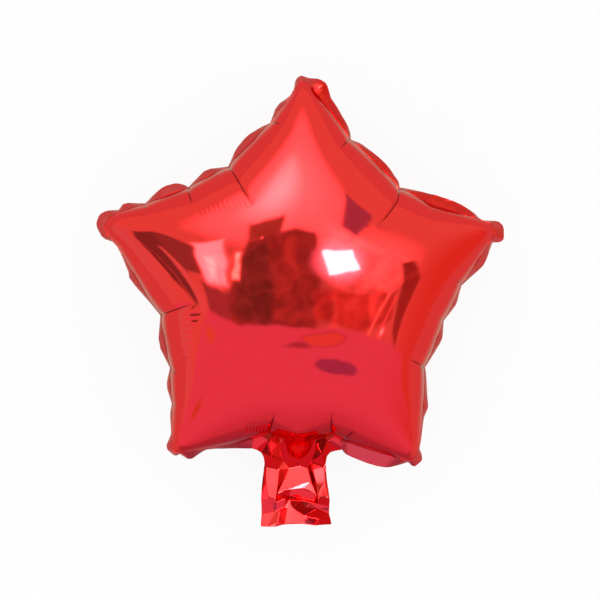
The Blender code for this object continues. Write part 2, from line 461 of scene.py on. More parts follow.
film_foil = foil_material("Red foil", FOIL_ROUGHNESS)
paint_crease_shade(film_foil)
blown = flat_film()
fit_to_seam(blown)
for vertex, rise in zip(blown.verts, film_rise(blown)):
    rise *= 1 - NECK_DROP * into_neck(vertex.co.x, vertex.co.y)
    vertex.co.z = SEAM_HEIGHT + FRONT_RISE * rise
front_film = new_piece("front_film", blown, film_foil)
refine(front_film, FILM_LEVELS)
crease(front_film)

back = bmesh.new()
back.from_mesh(front_film.data)
for vertex in back.verts:
    vertex.co.z = max(SEAM_HEIGHT - BACK_RISE / FRONT_RISE * (vertex.co.z - SEAM_HEIGHT), 0)
bmesh.ops.reverse_faces(back, faces=back.faces[:])
new_piece("back_film", back, film_foil)

# Flange
# Outside the seam the two films are sealed to each other in a band that was cut out with the star. Each
# crease folds the band behind the seam, so between creases it shows as a leaf, and at a point as a tab.
SEALED_RED = (0.60, 0.052, 0.062, 1.0)
# The crumpled band's colour is a painted self-reflection: a deeper red where the foil mirrors itself
CRUMPLED_REFLECTION_RED = (0.64, 0.020, 0.020, 1.0)
SEALED_ROUGHNESS = 0.26
CRUMPLED_ROUGHNESS = 0.13
SEALED_WIDTH = 0.0080
SEALED_THICKNESS = 0.00012
LEAF_PINCH = 0.0003
BAND_ROWS = 10
BAND_CURL = (0.92, 0.16)
LOOSE_SHARE = 1.3
PARALLEL = 1e-12
RIM_STEPS = 4
SHOULDERS = (-0.0255, 0.0245)
SHARPEST_SMOOTH = math.radians(50)

# The band is ruffled all round, in waves whose length drifts a little, with crests pulled nearly straight
RUFFLE_LENGTH = 0.0135
RUFFLE_DEPTH = 0.0006
RUFFLE_DRIFT = 1.9
RUFFLE_DRIFT_LENGTH = 0.017
RUFFLE_PULL = 0.96
RUFFLE_CREST = 1.3

# At the upper right it is crumpled too, from a place with this x and y on, up to this x. There it gets a
# painted self-reflection in its colour and a smoother finish.
CRUMPLE_DEPTH = 0.0012
CRUMPLE_ACROSS = 6
CRUMPLE_LEAN = 0.6
CRUMPLE_ALONG = 0.8
CRUMPLED_FROM = (0.0050, 0.0370)
CRUMPLED_TO = 0.1040
CRUMPLED_OVER = 0.0035

# What the band's outer edge shows in front, anticlockwise from the top point. A fifth of each side is cut
# off to round its outer corners.
EDGE_ROUNDING = 5
FLANGE_EDGE = (
    (0.0017, 0.1204), (-0.0006, 0.1189), (-0.0017, 0.1172), (-0.0024, 0.1100), (-0.0122, 0.1034),
    (-0.0155, 0.0934), (-0.0205, 0.0917), (-0.0288, 0.0862), (-0.0349, 0.0790), (-0.0377, 0.0718),
    (-0.0391, 0.0693), (-0.0512, 0.0679), (-0.0576, 0.0618), (-0.0612, 0.0577), (-0.0632, 0.0591),
    (-0.0681, 0.0602), (-0.0748, 0.0582), (-0.0803, 0.0541), (-0.0850, 0.0488), (-0.0972, 0.0491),
    (-0.1003, 0.0452), (-0.1069, 0.0447), (-0.1108, 0.0424), (-0.1130, 0.0366), (-0.1091, 0.0291),
    (-0.1019, 0.0269), (-0.1003, 0.0247), (-0.0947, 0.0103), (-0.0942, 0.0064), (-0.0776, -0.0124),
    (-0.0769, -0.0141), (-0.0782, -0.0299), (-0.0715, -0.0430), (-0.0737, -0.0529), (-0.0704, -0.0631),
    (-0.0715, -0.0692), (-0.0706, -0.0794), (-0.0742, -0.0878), (-0.0687, -0.0927), (-0.0659, -0.0911),
    (-0.0604, -0.0947), (-0.0543, -0.0905), (-0.0510, -0.0883), (-0.0260, -0.0880), (0.0011, -0.0894),
    (0.0244, -0.0886), (0.0271, -0.0916), (0.0421, -0.0972), (0.0504, -0.0986), (0.0571, -0.0972),
    (0.0615, -0.0955), (0.0643, -0.0988), (0.0693, -0.0950), (0.0693, -0.0916), (0.0676, -0.0878),
    (0.0698, -0.0739), (0.0704, -0.0706), (0.0726, -0.0656), (0.0726, -0.0634), (0.0715, -0.0468),
    (0.0709, -0.0427), (0.0787, -0.0307), (0.0809, -0.0257), (0.0812, -0.0166), (0.0853, -0.0119),
    (0.0886, -0.0074), (0.0911, 0.0028), (0.1028, 0.0131), (0.1053, 0.0175), (0.1086, 0.0269),
    (0.1125, 0.0269), (0.1147, 0.0286), (0.1147, 0.0358), (0.1114, 0.0391), (0.1025, 0.0391),
    (0.0975, 0.0441), (0.0897, 0.0488), (0.0798, 0.0524), (0.0665, 0.0560), (0.0568, 0.0577),
    (0.0560, 0.0613), (0.0526, 0.0663), (0.0482, 0.0718), (0.0410, 0.0779), (0.0349, 0.0823),
    (0.0296, 0.0843), (0.0294, 0.0879), (0.0277, 0.0923), (0.0227, 0.1012), (0.0183, 0.1078),
    (0.0161, 0.1150), (0.0122, 0.1178), (0.0055, 0.1189),
)


def rim_places(film):
    """Places round the film's rim, anticlockwise."""
    mesh = bmesh.new()
    mesh.from_mesh(film.data)
    places = np.array([vertex.co.xy for vertex in mesh.verts if vertex.is_boundary])
    mesh.free()
    return places[np.argsort(np.arctan2(places[:, 1], places[:, 0]))]


def rim_outward(places):
    """Direction straight out of the seam at each place, taken over a few places to both sides."""
    along = np.roll(places, -RIM_STEPS, axis=0) - np.roll(places, RIM_STEPS, axis=0)
    outward = np.stack([along[:, 1], -along[:, 0]], axis=1)
    return outward / np.linalg.norm(outward, axis=1)[:, None]


def rounded(corners):
    """Rounds the outer corners of an outline that runs anticlockwise, and keeps the inner ones sharp."""
    back = np.roll(corners, 1, axis=0) - corners
    on = np.roll(corners, -1, axis=0) - corners
    outer = back[:, 0] * on[:, 1] < back[:, 1] * on[:, 0]
    cut = []
    for corner, to_last, to_next, is_outer in zip(corners, back, on, outer):
        ends = [corner + to_last / EDGE_ROUNDING, corner + to_next / EDGE_ROUNDING]
        cut += ends if is_outer else [corner]
    return np.array(cut)


def leaf_widths(places, outward):
    """How far the band reaches out of each place of the rim before it ends at its outer edge."""
    corners = rounded(np.array(FLANGE_EDGE))
    sides = np.roll(corners, -1, axis=0) - corners
    offset = corners[None] - places[:, None]
    crossing = outward[:, None, 0] * sides[None, :, 1] - outward[:, None, 1] * sides[None, :, 0]
    crossing = np.where(abs(crossing) < PARALLEL, PARALLEL, crossing)
    reach = (offset[..., 0] * sides[None, :, 1] - offset[..., 1] * sides[None, :, 0]) / crossing
    along = (offset[..., 0] * outward[:, None, 1] - offset[..., 1] * outward[:, None, 0]) / crossing
    reach[(along < 0) | (along > 1) | (reach < 0)] = np.inf
    shown = reach.min(axis=1)
    loose = shown > LOOSE_SHARE * SEALED_WIDTH
    return np.where(loose, LEAF_PINCH, np.clip(shown, LEAF_PINCH, SEALED_WIDTH))


def flange_mesh(film):
    """The sealed band, grown out from the seam in rows, and bent behind it where little of it shows."""
    places = rim_places(film)
    outward = rim_outward(places)
    shown = leaf_widths(places, outward)
    reached = np.cumsum(np.linalg.norm(np.roll(places, -1, axis=0) - places, axis=1))
    mesh = bmesh.new()
    number_layer = mesh.verts.layers.int.new("rim")
    crumple_reflection_layer = mesh.verts.layers.float.new("deep")
    # Where the band is crumpled, the mark carries a painted self-reflection and a smoother finish
    crumpled = np.clip((places - CRUMPLED_FROM) / CRUMPLED_OVER, 0, 1).prod(axis=1)
    crumpled *= np.clip((CRUMPLED_TO - places[:, 0]) / CRUMPLED_OVER, 0, 1)
    circle = bmesh.ops.create_circle(mesh, segments=len(places), radius=1)["verts"]
    circle.sort(key=lambda vertex: math.atan2(vertex.co.y, vertex.co.x))
    for number, vertex in enumerate(circle):
        vertex[number_layer] = number
        vertex[crumple_reflection_layer] = crumpled[number]
        vertex.co = (*places[number], SEAM_HEIGHT)
    left, right = SHOULDERS
    neck = [edge for edge in mesh.edges if all(v.co.y < 0 and left < v.co.x < right for v in edge.verts)]
    bmesh.ops.delete(mesh, geom=neck, context="EDGES")
    slope = np.arccos(np.clip(shown / SEALED_WIDTH, 0, 1))
    turns = 2 * math.pi * reached / RUFFLE_LENGTH + RUFFLE_DRIFT * np.sin(reached / RUFFLE_DRIFT_LENGTH)
    ruffle = np.arcsin(RUFFLE_PULL * np.sin(turns)) / RUFFLE_CREST
    out, height = np.zeros(len(places)), np.zeros(len(places))
    edges = mesh.edges[:]
    for row in range(BAND_ROWS):
        share = (row + 0.5) / BAND_ROWS
        angle = slope * (BAND_CURL[0] + BAND_CURL[1] * share)
        out = out + np.cos(angle) * SEALED_WIDTH / BAND_ROWS
        height = height - np.sin(angle) * SEALED_WIDTH / BAND_ROWS
        wave = RUFFLE_DEPTH * share * ruffle
        crumple = np.sin(CRUMPLE_ACROSS * share + CRUMPLE_LEAN * turns) * np.sin(CRUMPLE_ALONG * turns)
        wave += CRUMPLE_DEPTH * crumpled * share**2 * crumple
        grown = bmesh.ops.extrude_edge_only(mesh, edges=edges)["geom"]
        edges = [part for part in grown if isinstance(part, bmesh.types.BMEdge)]
        for vertex in (part for part in grown if isinstance(part, bmesh.types.BMVert)):
            number = vertex[number_layer]
            place = places[number] + outward[number] * out[number]
            vertex.co = (*place, SEAM_HEIGHT + height[number] + wave[number])
    bmesh.ops.solidify(mesh, geom=mesh.faces[:], thickness=SEALED_THICKNESS)
    bmesh.ops.recalc_face_normals(mesh, faces=mesh.faces[:])
    return mesh


sealed_foil = foil_material("Sealed foil", SEALED_ROUGHNESS)
# The crumpled leaves get a painted self-reflection in their colour, and a smoother finish
sealed_self_reflection = paint_self_reflection(sealed_foil, SEALED_RED, CRUMPLED_REFLECTION_RED)
finish = sealed_foil.node_tree.nodes.new("ShaderNodeMapRange")
finish.inputs["To Min"].default_value = SEALED_ROUGHNESS
finish.inputs["To Max"].default_value = CRUMPLED_ROUGHNESS
sealed_foil.node_tree.links.new(sealed_self_reflection.outputs["Self-reflecting"], finish.inputs["Value"])
sealed_foil.node_tree.links.new(
    finish.outputs["Result"], sealed_foil.node_tree.nodes["Principled BSDF"].inputs["Roughness"]
)
flange = new_piece("flange", flange_mesh(front_film), sealed_foil)
flange.data.set_sharp_from_angle(angle=SHARPEST_SMOOTH)

# Filling tail
# The two films go on below the star as a flat tail, sealed along both sides. The valve lies between
# them, and the films have crumpled and folded over where the tail was pulled and handled.

# Edge of the front film, anticlockwise from the upper left, then the corners of its facets: to the right of
# the star's centre, below it, and over the seam, in millimetres
TAIL_EDGE = (
    (-25.5, 78.0, -0.2), (-25.5, 87.7, -2.2), (-22.9, 88.4, -2.4), (-20.4, 90.0, -2.2), (-19.0, 92.6, -1.8),
    (-18.6, 96.0, -1.6), (-19.2, 101.1, -0.6), (-19.8, 105.7, 0.6), (-20.2, 109.9, 1.9), (-20.4, 114.9, 3.0),
    (-20.2, 119.5, 1.6), (-20.2, 124.0, 0.8), (-20.7, 128.6, 2.3), (-20.4, 130.2, 2.9), (-17.0, 130.3, 4.0),
    (-12.8, 130.1, 5.4), (-7.3, 128.9, 4.4), (-2.7, 128.7, 4.5), (2.8, 128.65, 4.3), (9.2, 129.7, 3.2),
    (14.0, 129.6, 0.8), (18.4, 129.4, 0.6), (18.3, 127.6, 0.6), (17.2, 123.6, 0.6), (17.3, 119.5, 1.4),
    (17.5, 115.3, 3.0), (16.9, 110.5, 2.2), (16.1, 106.1, 0.8), (15.7, 101.1, -0.6), (15.4, 95.6, -1.6),
    (16.1, 91.9, -1.8), (17.9, 89.8, -2.2), (20.7, 88.9, -2.4), (24.5, 88.4, -2.3), (24.5, 78.0, -0.2),
    (12.0, 78.0, -0.6), (0, 78.0, -0.8), (-12.0, 78.0, -0.6),
)
TAIL_CORNERS = {
    # Both sides of the neck
    "neck_a1": (-16.4, 83.0, 0.0), "neck_a2": (-15.8, 91.0, 0.6), "neck_b1": (-9.8, 83.6, -1.0),
    "neck_b2": (-9.4, 90.0, -2.0), "neck_b3": (-8.0, 95.0, -3.0), "neck_c": (0.5, 95.4, -3.6),
    "neck_d1": (9.8, 83.6, -1.0), "neck_d2": (9.0, 90.0, -2.0), "neck_d3": (7.2, 95.0, -2.8),
    "neck_e1": (16.4, 83.2, 0.0), "neck_e2": (13.2, 91.0, 0.6),
    # The left, the middle and the right facet, each from its upper end to its lower end
    "left_a1": (-17.4, 97.4, -1.2), "left_a2": (-17.9, 106.4, 1.9), "left_a3": (-16.4, 114.4, 4.4),
    "left_b1": (-10.4, 99.0, -0.9), "left_b2": (-11.2, 107.4, 2.0), "left_b3": (-12.4, 115.0, 4.4),
    "mid_a1": (-5.0, 98.8, -3.6), "mid_a2": (-7.6, 104.8, -1.2), "mid_a3": (-11.4, 112.4, 1.9),
    "mid_m1": (1.2, 97.6, -4.6), "mid_b1": (5.2, 98.4, -4.7), "mid_b2": (7.2, 106.0, -2.2),
    "mid_b3": (10.4, 113.6, 0.8),
    "right_a1": (8.0, 99.0, -1.4), "right_a2": (10.0, 106.4, 1.6), "right_a3": (11.2, 114.8, 4.4),
    "right_b1": (14.4, 97.6, -1.2), "right_b2": (14.9, 106.2, 2.0), "right_b3": (16.2, 114.4, 4.2),
    # The flat spot at the lower end of the middle facet, and the fold under it
    "flat_a": (-4.1, 110.2, -0.02), "flat_b": (0.7, 107.5, -1.04), "flat_c": (3.0, 110.0, -1.11),
    "fold_a": (-7.3, 110.4, 0.7), "fold_b": (6.4, 111.0, -0.4), "under_a": (-9.2, 114.4, 0.6),
    "under_b": (-5.0, 113.3, -1.5), "under_c": (1.4, 115.3, -2.6), "under_d": (9.2, 116.3, -0.6),
    # The second fold, left and right
    "second_a": (-17.4, 115.6, 3.8), "second_b": (-11.9, 116.9, 3.2), "second_c": (-7.3, 114.9, 2.2),
    "second_d": (2.0, 116.1, 1.0), "second_e": (6.4, 116.9, 2.0), "second_f": (11.0, 118.1, 2.4),
    # The end
    "end_a": (-12.8, 122.2, 2.2), "end_b": (-7.3, 119.9, 1.0), "end_c": (-10.1, 121.8, 3.4),
    "end_d": (-11.0, 127.7, 5.8), "end_e": (-5.0, 116.0, -0.2), "end_f": (-6.0, 120.4, 1.4),
    "end_g": (-2.3, 120.9, 1.7), "end_h": (3.2, 124.5, 2.8), "end_i": (4.2, 119.9, 1.6),
    "end_j": (11.0, 120.4, 1.6), "end_k": (11.7, 126.4, 1.5),
}
# Folds run from corner to corner. In the deep facets the foil mirrors itself, which is painted as a deeper
# red. A number is a place of the edge.
TAIL_FOLDS = (
    "neck_a1 neck_a2 left_a1 left_a2 left_a3 left_b3 left_b2 left_b1 left_a1",
    "neck_b1 neck_b2 neck_b3 mid_a1 mid_a2 mid_a3 fold_a flat_a flat_c fold_b mid_b3 mid_b2 mid_b1",
    "neck_d1 neck_d2 neck_d3 mid_b1",
    "neck_e1 neck_e2 right_b1 right_b2 right_b3 right_a3 right_a2 right_a1 right_b1",
    "neck_b3 neck_c neck_d3", "mid_a1 mid_m1 mid_b1", "mid_m1 flat_b", "flat_a flat_b flat_c",
    "under_a under_b under_c under_d", "mid_a3 under_a", "fold_a under_b", "mid_b3 under_d",
    "9 second_a second_b second_c under_a", "under_c second_d second_e second_f 24",
    "11 end_a end_b second_c", "end_a end_c end_d 15", "end_c end_b end_e end_f 16", "end_e end_g 18",
    "end_g end_h 19", "end_e second_d", "second_d end_i end_j 23", "end_j end_k",
)
SELF_REFLECTING_FACETS = (
    "5 left_a1 left_a2 left_a3 9 8 7 6", "left_b1 left_b2 left_b3 mid_a3 mid_a2 mid_a1",
    "mid_b1 mid_b2 mid_b3 right_a3 right_a2 right_a1",
    "1 neck_a1 37 neck_b1 neck_b2 neck_b3 left_b1 left_a1 5 4 3 2",
    "35 neck_d1 neck_d2 neck_d3 mid_b1 right_a1 right_b1 29 30 31 32 33",
    "neck_b1 neck_b2 neck_b3 neck_c neck_d3 neck_d2 neck_d1", "neck_b3 neck_c neck_d3 mid_b1 mid_m1 mid_a1",
    "mid_a3 fold_a flat_a under_b under_a", "right_a3 right_b3 25 24 second_f",
    "end_e second_d end_i end_j 23 22 21 20 19 end_h end_g", "end_c end_b end_f 16 end_d",
    "second_c under_a under_b under_c second_d end_e",
)
TAIL_FILM = 0.00008
TAIL_GAP = 0.00025
TAIL_LEVELS = 4
CORNER_REACH = 1e-6
NECK_GAP = 0.0030
NECK_GAP_START = 0.080
NECK_GAP_LENGTH = 0.022
TAIL_MIDDLE = -0.0016
TAIL_HALF_WIDTH = 0.0185
FOLD_ANGLE = 0.5
FOLD_SHARPNESS = 0.9


def inside(place, outline):
    """Whether a place is inside a closed outline."""
    crossings = 0
    for start, end in zip(outline, outline[1:] + outline[:1]):
        if (start.y > place.y) != (end.y > place.y):
            crossings += place.x < start.x + (place.y - start.y) / (end.y - start.y) * (end.x - start.x)
    return crossings % 2 == 1


def tail_film(side):
    """One film of the tail, crumpled into facets: the front one (side 1) or the one behind it (side -1)."""
    numbers = {str(number): number for number in range(len(TAIL_EDGE))}
    numbers.update({name: len(TAIL_EDGE) + number for number, name in enumerate(TAIL_CORNERS)})
    corners = np.array(TAIL_EDGE + tuple(TAIL_CORNERS.values())) / 1000
    folds = [(number, (number + 1) % len(TAIL_EDGE)) for number in range(len(TAIL_EDGE))]
    for fold in TAIL_FOLDS:
        chain = [numbers[name] for name in fold.split()]
        folds += zip(chain, chain[1:])
    flat = [Vector((x, -below)) for x, below, _ in corners]
    places, _, facets, came_from, *_ = delaunay_2d_cdt(flat, folds, [], 1, CORNER_REACH)
    mesh = bmesh.new()
    for place, sources in zip(places, came_from):
        x, below, height = corners[sources[0]]
        vertex = mesh.verts.new((place.x, place.y, SEAM_HEIGHT + height))
        if side < 0:
            neck = max(0, 1 - (below - NECK_GAP_START) / NECK_GAP_LENGTH)
            across = min(1, abs(x - TAIL_MIDDLE) / TAIL_HALF_WIDTH)
            vertex.co.z -= TAIL_GAP + NECK_GAP * neck * (1 - across**2)
    mesh.verts.ensure_lookup_table()
    # Facets where the foil mirrors itself get the material with the painted self-reflection
    outlines = [[flat[numbers[name]] for name in facet.split()] for facet in SELF_REFLECTING_FACETS]
    for facet in facets:
        face = mesh.faces.new([mesh.verts[number] for number in facet])
        middle = face.calc_center_median().xy
        face.material_index = int(any(inside(middle, outline) for outline in outlines))
    crease_layer = mesh.edges.layers.float.new("crease_edge")
    mesh.normal_update()
    for edge in mesh.edges:
        bend = 1.0 if edge.is_boundary else FOLD_SHARPNESS * min(1, edge.calc_face_angle() / FOLD_ANGLE)
        edge[crease_layer] = bend
    return mesh


# Foil whose colour is the deeper red painted where it mirrors itself
self_reflecting_foil = foil_material("Deep foil", FOIL_ROUGHNESS)
self_reflecting_foil.node_tree.nodes["Principled BSDF"].inputs["Base Color"].default_value = SELF_REFLECTION_RED
for name, side in (("tail_front_film", 1), ("tail_back_film", -1)):
    tail_piece = new_piece(name, tail_film(side), film_foil)
    tail_piece.data.materials.append(self_reflecting_foil)
    refine(tail_piece, TAIL_LEVELS)
    sheet = bmesh.new()
    sheet.from_mesh(tail_piece.data)
    bmesh.ops.solidify(sheet, geom=sheet.faces[:], thickness=TAIL_FILM)
    bmesh.ops.recalc_face_normals(sheet, faces=sheet.faces[:])
    sheet.to_mesh(tail_piece.data)
    sheet.free()

# Floor and room
# A plain pale sweep that the balloon lies on, in a plain studio: a soft lamp, a pale wall and dark panels,
# which only the foil's mirror finish shows.
FLOOR_SIZE = 6.0
FLOOR_UNDER = 0.0002
FLOOR_GREY = 0.98
FLOOR_MIRRORED = (0.92, 1.0, 0.80, 1.0)
FLOOR_WHITE = 0.88
# Painted shade on the floor in front of the star, seen only in the foil: its colour far off and near, where
# it starts, how far the sides hold it back, and where it deepens
FRONT_SHADE_FAR = (0.80, 0.62, 0.78, 1.0)
FRONT_SHADE_NEAR = (0.53, 0.40, 0.56, 1.0)
FRONT_START = (-0.01, -0.09)
FRONT_SIDES = 1.1
FRONT_REACH = (-0.90, -0.16)
floor_mesh = bmesh.new()
bmesh.ops.create_grid(floor_mesh, x_segments=1, y_segments=1, size=FLOOR_SIZE / 2)
floor_data = bpy.data.meshes.new("floor")
floor_mesh.to_mesh(floor_data)
floor_mesh.free()
floor = bpy.data.objects.new("floor", floor_data)
floor.location.z = -FLOOR_UNDER
bpy.context.scene.collection.objects.link(floor)
floor_paint = bpy.data.materials.new("Floor")
floor_paint.use_nodes = True
floor_shader = floor_paint.node_tree.nodes["Principled BSDF"]
floor_shader.inputs["Roughness"].default_value = 1.0
floor_shader.inputs["Specular IOR Level"].default_value = 0.0
floor_tree = floor_paint.node_tree
floor_seen = floor_tree.nodes.new("ShaderNodeLightPath")


def floor_mask(limits, sideways):
    """0 where the floor's y is at the first limit, and 1 at the second, with y raised by a share of x."""
    place = floor_tree.nodes.new("ShaderNodeTexCoord")
    parts = floor_tree.nodes.new("ShaderNodeSeparateXYZ")
    floor_tree.links.new(place.outputs["Object"], parts.inputs[0])
    size = floor_tree.nodes.new("ShaderNodeMath")
    size.operation = "ABSOLUTE"
    floor_tree.links.new(parts.outputs["X"], size.inputs[0])
    raised = floor_tree.nodes.new("ShaderNodeMath")
    raised.operation = "MULTIPLY_ADD"
    floor_tree.links.new(size.outputs[0], raised.inputs[0])
    raised.inputs[1].default_value = sideways
    floor_tree.links.new(parts.outputs["Y"], raised.inputs[2])
    mask = floor_tree.nodes.new("ShaderNodeMapRange")
    floor_tree.links.new(raised.outputs[0], mask.inputs["Value"])
    mask.inputs["From Min"].default_value, mask.inputs["From Max"].default_value = limits
    return mask.outputs["Result"]


def floor_blend(first, second, mask):
    """The first colour where the mask is 0, and the second where it is 1."""
    blend = floor_tree.nodes.new("ShaderNodeMix")
    blend.data_type = "RGBA"
    for name, colour in (("A", first), ("B", second)):
        if isinstance(colour, bpy.types.NodeSocket):
            floor_tree.links.new(colour, blend.inputs[name])
        else:
            blend.inputs[name].default_value = colour
    floor_tree.links.new(mask, blend.inputs["Factor"])
    return blend.outputs["Result"]


# Painted shade that only the foil shows: the floor in front of the star is painted darker towards it, and
# the rest of the floor a plain tint
floor_plain = (FLOOR_GREY, FLOOR_GREY, FLOOR_GREY, 1)
shade = floor_blend(FRONT_SHADE_FAR, FRONT_SHADE_NEAR, floor_mask(FRONT_REACH, 0))
shade = floor_blend(FLOOR_MIRRORED, shade, floor_mask(FRONT_START, FRONT_SIDES))
shade = floor_blend(floor_plain, shade, floor_seen.outputs["Is Glossy Ray"])
floor_tree.links.new(shade, floor_shader.inputs["Base Color"])
white_share = floor_tree.nodes.new("ShaderNodeMath")
white_share.operation = "MULTIPLY"
white_share.inputs[1].default_value = FLOOR_WHITE
floor_tree.links.new(floor_seen.outputs["Is Camera Ray"], white_share.inputs[0])
floor_white = floor_tree.nodes.new("ShaderNodeEmission")
floor_mix = floor_tree.nodes.new("ShaderNodeMixShader")
floor_tree.links.new(white_share.outputs[0], floor_mix.inputs["Fac"])
floor_tree.links.new(floor_shader.outputs[0], floor_mix.inputs[1])
floor_tree.links.new(floor_white.outputs[0], floor_mix.inputs[2])
floor_tree.links.new(floor_mix.outputs[0], floor_tree.nodes["Material Output"].inputs["Surface"])
floor_data.materials.append(floor_paint)

# What the room shows, drawn over each other from the first to the last. Places are directions, in degrees
# away from straight up: to the right and towards the star's top point. Light levels are red, green, blue.
WALL = (1.05, 1.30, 0.85)
MATT_LIGHT = (1.0, 1.0, 1.0)
WOBBLE = 2.3
WOBBLE_SCALE = 9.0
NEARLY_UP = 1e-5
NOISE_DETAIL = 3
GLOWS = (
    # centre, half sizes, how much of the rim is soft, light
    ((-95, 10), (32, 75), 0.7, (0.92, 1.60, 1.35)),
    ((78, 0), (34, 70), 0.8, (0.95, 0.62, 0.32)),
    ((-8, 44), (41, 29.5), 0.25, (2.1, 2.3, 2.0)),
    ((-8, 44), (40, 28), 1.0, (3.6, 4.6, 3.9)),
    ((-14, 44), (19, 17), 1.0, (8.5, 9.5, 8.6)),
    ((36, 14), (20, 28), 0.9, (2.3, 2.6, 2.1)),
    ((19, 19), (17, 14), 1.0, (4.2, 5.0, 4.4)),
)
PANELS = (
    # corners, how soft the edges are in degrees, light
    (((-46, -2), (-30, -2), (-30, -13), (-46, -12)), 1.2, (0.50, 0.55, 0.50)),
    (((-43, -1), (-31, 1), (-31, 25), (-44, 22)), 1.5, (6.0, 7.3, 6.7)),
    (((-39.5, 2), (-35.5, 2), (-35.5, 13), (-39.5, 13)), 1.5, (11, 12, 10)),
    (((20, 29), (25, 26), (38, 42), (30, 47)), 1.0, (0.52, 0.62, 0.88)),
    (((-70, 8), (-60, -13), (-66, -13), (-69, -4)), 0.8, (0.30, 0.34, 0.26)),
    (((-70, 8), (-67, 23), (-57, 31), (-50, -11), (-59, -13)), 0.8, (0.31, 0.42, 0.32)),
    (((-57, 31), (-44, 19), (-44, 2), (-59, -1)), 0.8, (0.41, 0.54, 0.38)),
    (((-60.5, 11), (-59.5, 13), (-47.5, -10), (-53, -15)), 0.6, (1.05, 1.55, 1.15)),
    (((-23, 31), (-8, 31), (-8, 23), (-22, 23)), 1.0, (0.54, 0.63, 0.34)),
    (
        ((-32, -14), (-31, -4), (-27, 8), (-22, 23), (-2, 25), (9, 23), (8, 4), (9, -16)),
        1.2,
        (0.48, 0.44, 0.28),
    ),
    (((-30, -9), (-26, 9), (-20, 21), (-13, 20), (-11, 2), (-12, -15)), 2.0, (0.29, 0.38, 0.25)),
    (((-7, 20), (-1, 20), (0, 4), (-8, 4)), 1.5, (0.60, 0.50, 0.32)),
    (((6, 3), (16, 1), (30, 3), (44, -2), (48, -22), (24, -16), (6, -17)), 1.6, (0.76, 0.48, 0.30)),
    (((30, -3), (37, -1), (39, -12), (33, -13)), 1.5, (1.20, 0.95, 0.60)),
    (((17, -4), (25, -3), (26, -7), (19, -8)), 1.2, (0.90, 0.70, 0.45)),
    (((40, -17), (42, -17), (42, -19), (40, -19)), 0.6, (7.0, 7.0, 6.0)),
    (((31, -18), (32.5, -18), (44, -3), (42, -3)), 0.5, (1.9, 2.2, 1.4)),
    (((37, -20), (38, -20), (47, -8), (46, -7)), 0.5, (1.5, 1.4, 0.9)),
    (((21, 0), (22, 2), (33, -1), (32, -3)), 0.7, (1.1, 1.2, 0.8)),
    (((12, -3), (14, -2), (16, -11), (14, -12)), 0.7, (0.85, 0.75, 0.5)),
    (((-17.0, 23.6), (-16.0, 23.6), (-16.0, 22.6), (-17.0, 22.6)), 0.4, (3.0, 3.8, 3.0)),
    (((44, 12), (49, 12), (57, -4), (56, -26), (50, -20), (47, -4)), 1.0, (0.48, 0.36, 0.22)),
    (((-28.5, 4), (-25.5, 4), (-24.5, 17), (-26.0, 17)), 0.6, (8.0, 9.0, 6.0)),
)

# A soft mottle keeps this zone from being even: its centre, half sizes and soft rim
MOTTLED = ((6, 4), (58, 27), 0.4)
MOTTLE_SCALE = 19.0
MOTTLE_SWIRL = 1.2
MOTTLE_CLOUDS = (0.36, 0.68)
MOTTLE_LEVELS = (0.78, 1.32)

# The lamp with its halo, and the floor far in front with its own glows
LAMP_GLOW = ((17.0, 12.0), (14, 11.5), 0.7, (4.2, 7.0, 8.0))
LAMP = (((8.5, 15.7), (22.4, 18.2), (25.2, 8.6), (11.8, 6.0)), 0.2, (34, 34, 31))
FLOOR_FAR = (
    ((-120, -55), (-46, -11.5), (24, -15.5), (68, -28), (130, -60), (60, -140), (-120, -120)),
    0.7,
    (1.04, 0.97, 1.29),
)
FLOOR_GLOWS = (
    ((10, -95), (110, 45), 1.0, (0.80, 0.62, 0.78)),
    ((85, -45), (60, 28), 1.0, (0.92, 0.60, 0.42)),
    ((15, -32), (11, 4.6), 0.25, (0.50, 0.52, 1.05)),
    ((-1, -22), (7, 1.8), 0.6, (0.55, 0.50, 0.60)),
    ((10, -19), (10.5, 3.2), 0.12, (0.72, 0.60, 0.70)),
    ((10, -19), (9.8, 2.6), 0.12, (1.05, 1.00, 0.60)),
    ((-57, -40), (9, 6), 0.8, (0.85, 0.90, 0.25)),
    ((-49, -18), (6, 3.5), 0.8, (1.03, 1.28, 0.45)),
)

world = bpy.data.worlds.new("Studio")
bpy.context.scene.world = world
world.use_nodes = True
room = world.node_tree
room.nodes.clear()


def room_math(operation, first, second=None):
    node = room.nodes.new("ShaderNodeMath")
    node.operation = operation
    for socket, value in zip(node.inputs, (first, second)):
        if isinstance(value, bpy.types.NodeSocket):
            room.links.new(value, socket)
        elif value is not None:
            socket.default_value = value
    return node.outputs[0]


def room_length(across, up):
    return room_math("SQRT", room_math("ADD", room_math("POWER", across, 2), room_math("POWER", up, 2)))


def room_dot(vector, constant):
    node = room.nodes.new("ShaderNodeVectorMath")
    node.operation = "DOT_PRODUCT"
    room.links.new(vector, node.inputs[0])
    node.inputs[1].default_value = constant
    return node.outputs["Value"]


def room_ramp(value, low, high):
    """0 where the value is at low, and 1 at high, with a smooth step between."""
    node = room.nodes.new("ShaderNodeMapRange")
    node.interpolation_type = "SMOOTHSTEP"
    room.links.new(value, node.inputs["Value"])
    node.inputs["From Min"].default_value = low
    node.inputs["From Max"].default_value = high
    return node.outputs["Result"]


def room_paint(under, mask, light):
    """Paints light, or another picture of the room, over what is under it, where the mask is 1."""
    node = room.nodes.new("ShaderNodeMix")
    node.data_type = "RGBA"
    room.links.new(mask, node.inputs["Factor"])
    room.links.new(under, node.inputs["A"])
    if isinstance(light, bpy.types.NodeSocket):
        room.links.new(light, node.inputs["B"])
    else:
        node.inputs["B"].default_value = (*light, 1)
    return node.outputs["Result"]


